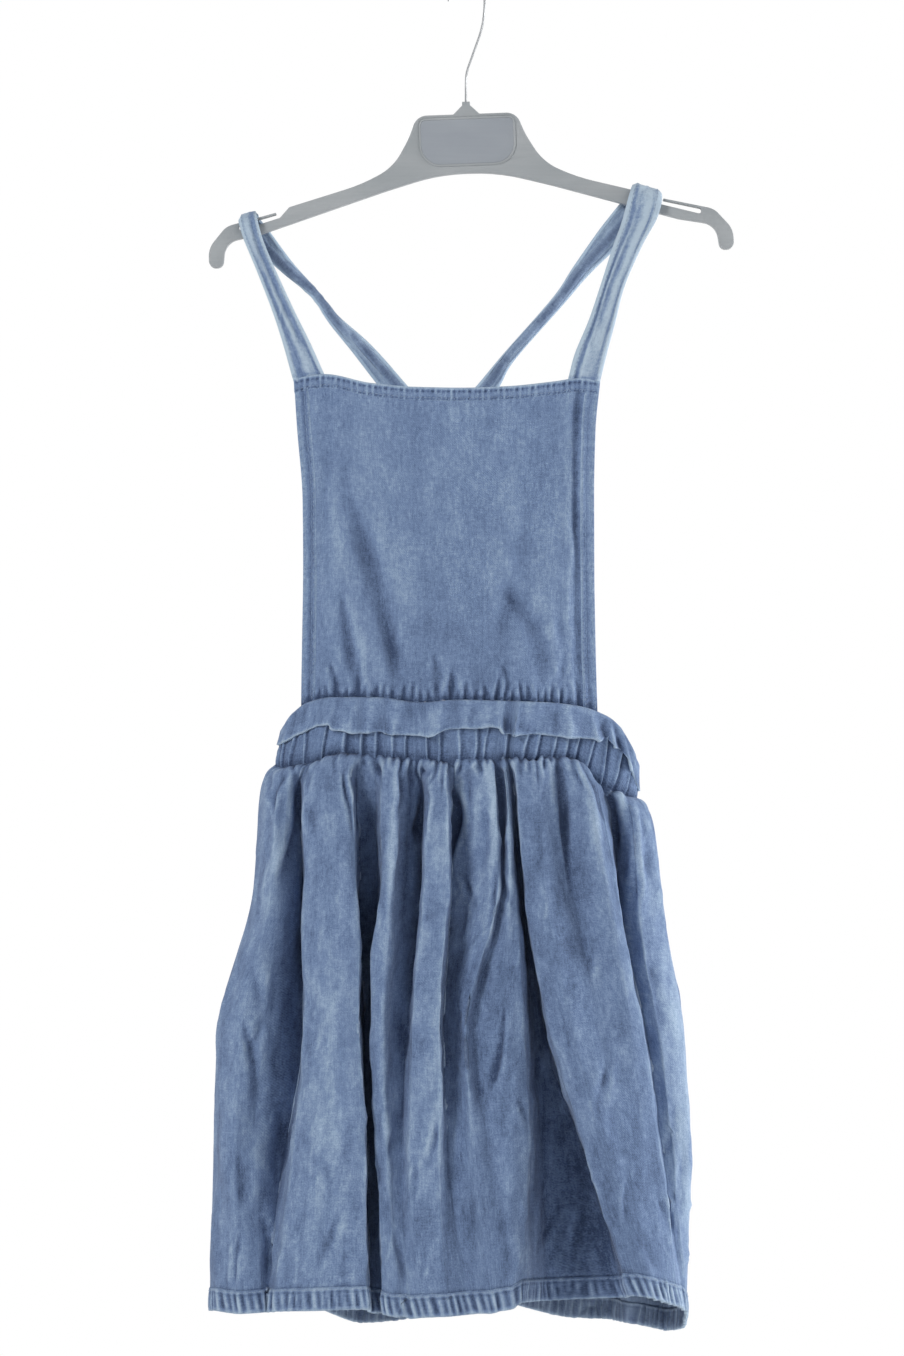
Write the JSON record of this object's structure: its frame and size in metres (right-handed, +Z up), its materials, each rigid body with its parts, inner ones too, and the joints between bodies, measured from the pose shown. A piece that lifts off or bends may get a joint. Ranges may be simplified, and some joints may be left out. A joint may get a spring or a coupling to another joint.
{
  "type": "denim dress on a hanger",
  "caption": "Child's sleeveless denim pinafore dress with a square bib, crossed back straps, an elasticated waist under a fold-down strip and a gathered skirt, on a plain top hanger.",
  "frame": {"origin": "bearing point under the top of the hanger's hook, where it rests on a rail", "axes": "+Z up, the wearer's front towards -Y, the hanger's plane is X-Z, +X is the right as seen from the front"},
  "size_m": [0.3216, 0.1124, 0.8441],
  "materials": {
    "denim": "washed mid-blue denim",
    "hanger_plastic": "moulded grey",
    "hook_wire": "drawn wire"
  },
  "bodies": {
    "root": {"front_bib": "denim", "bib_top_hem": "denim", "bib_side_hem_left": "denim", "bib_side_hem_right": "denim", "strap_left": "denim", "strap_right": "denim", "waistband_front": "denim", "waistband_back": "denim", "waist_flap_front": "denim", "waist_flap_back": "denim", "skirt_front": "denim", "skirt_back": "denim", "skirt_hem_front": "denim", "skirt_hem_back": "denim", "hanger_body": "hanger_plastic", "hanger_hook": "hook_wire"}
  },
  "joints": []
}
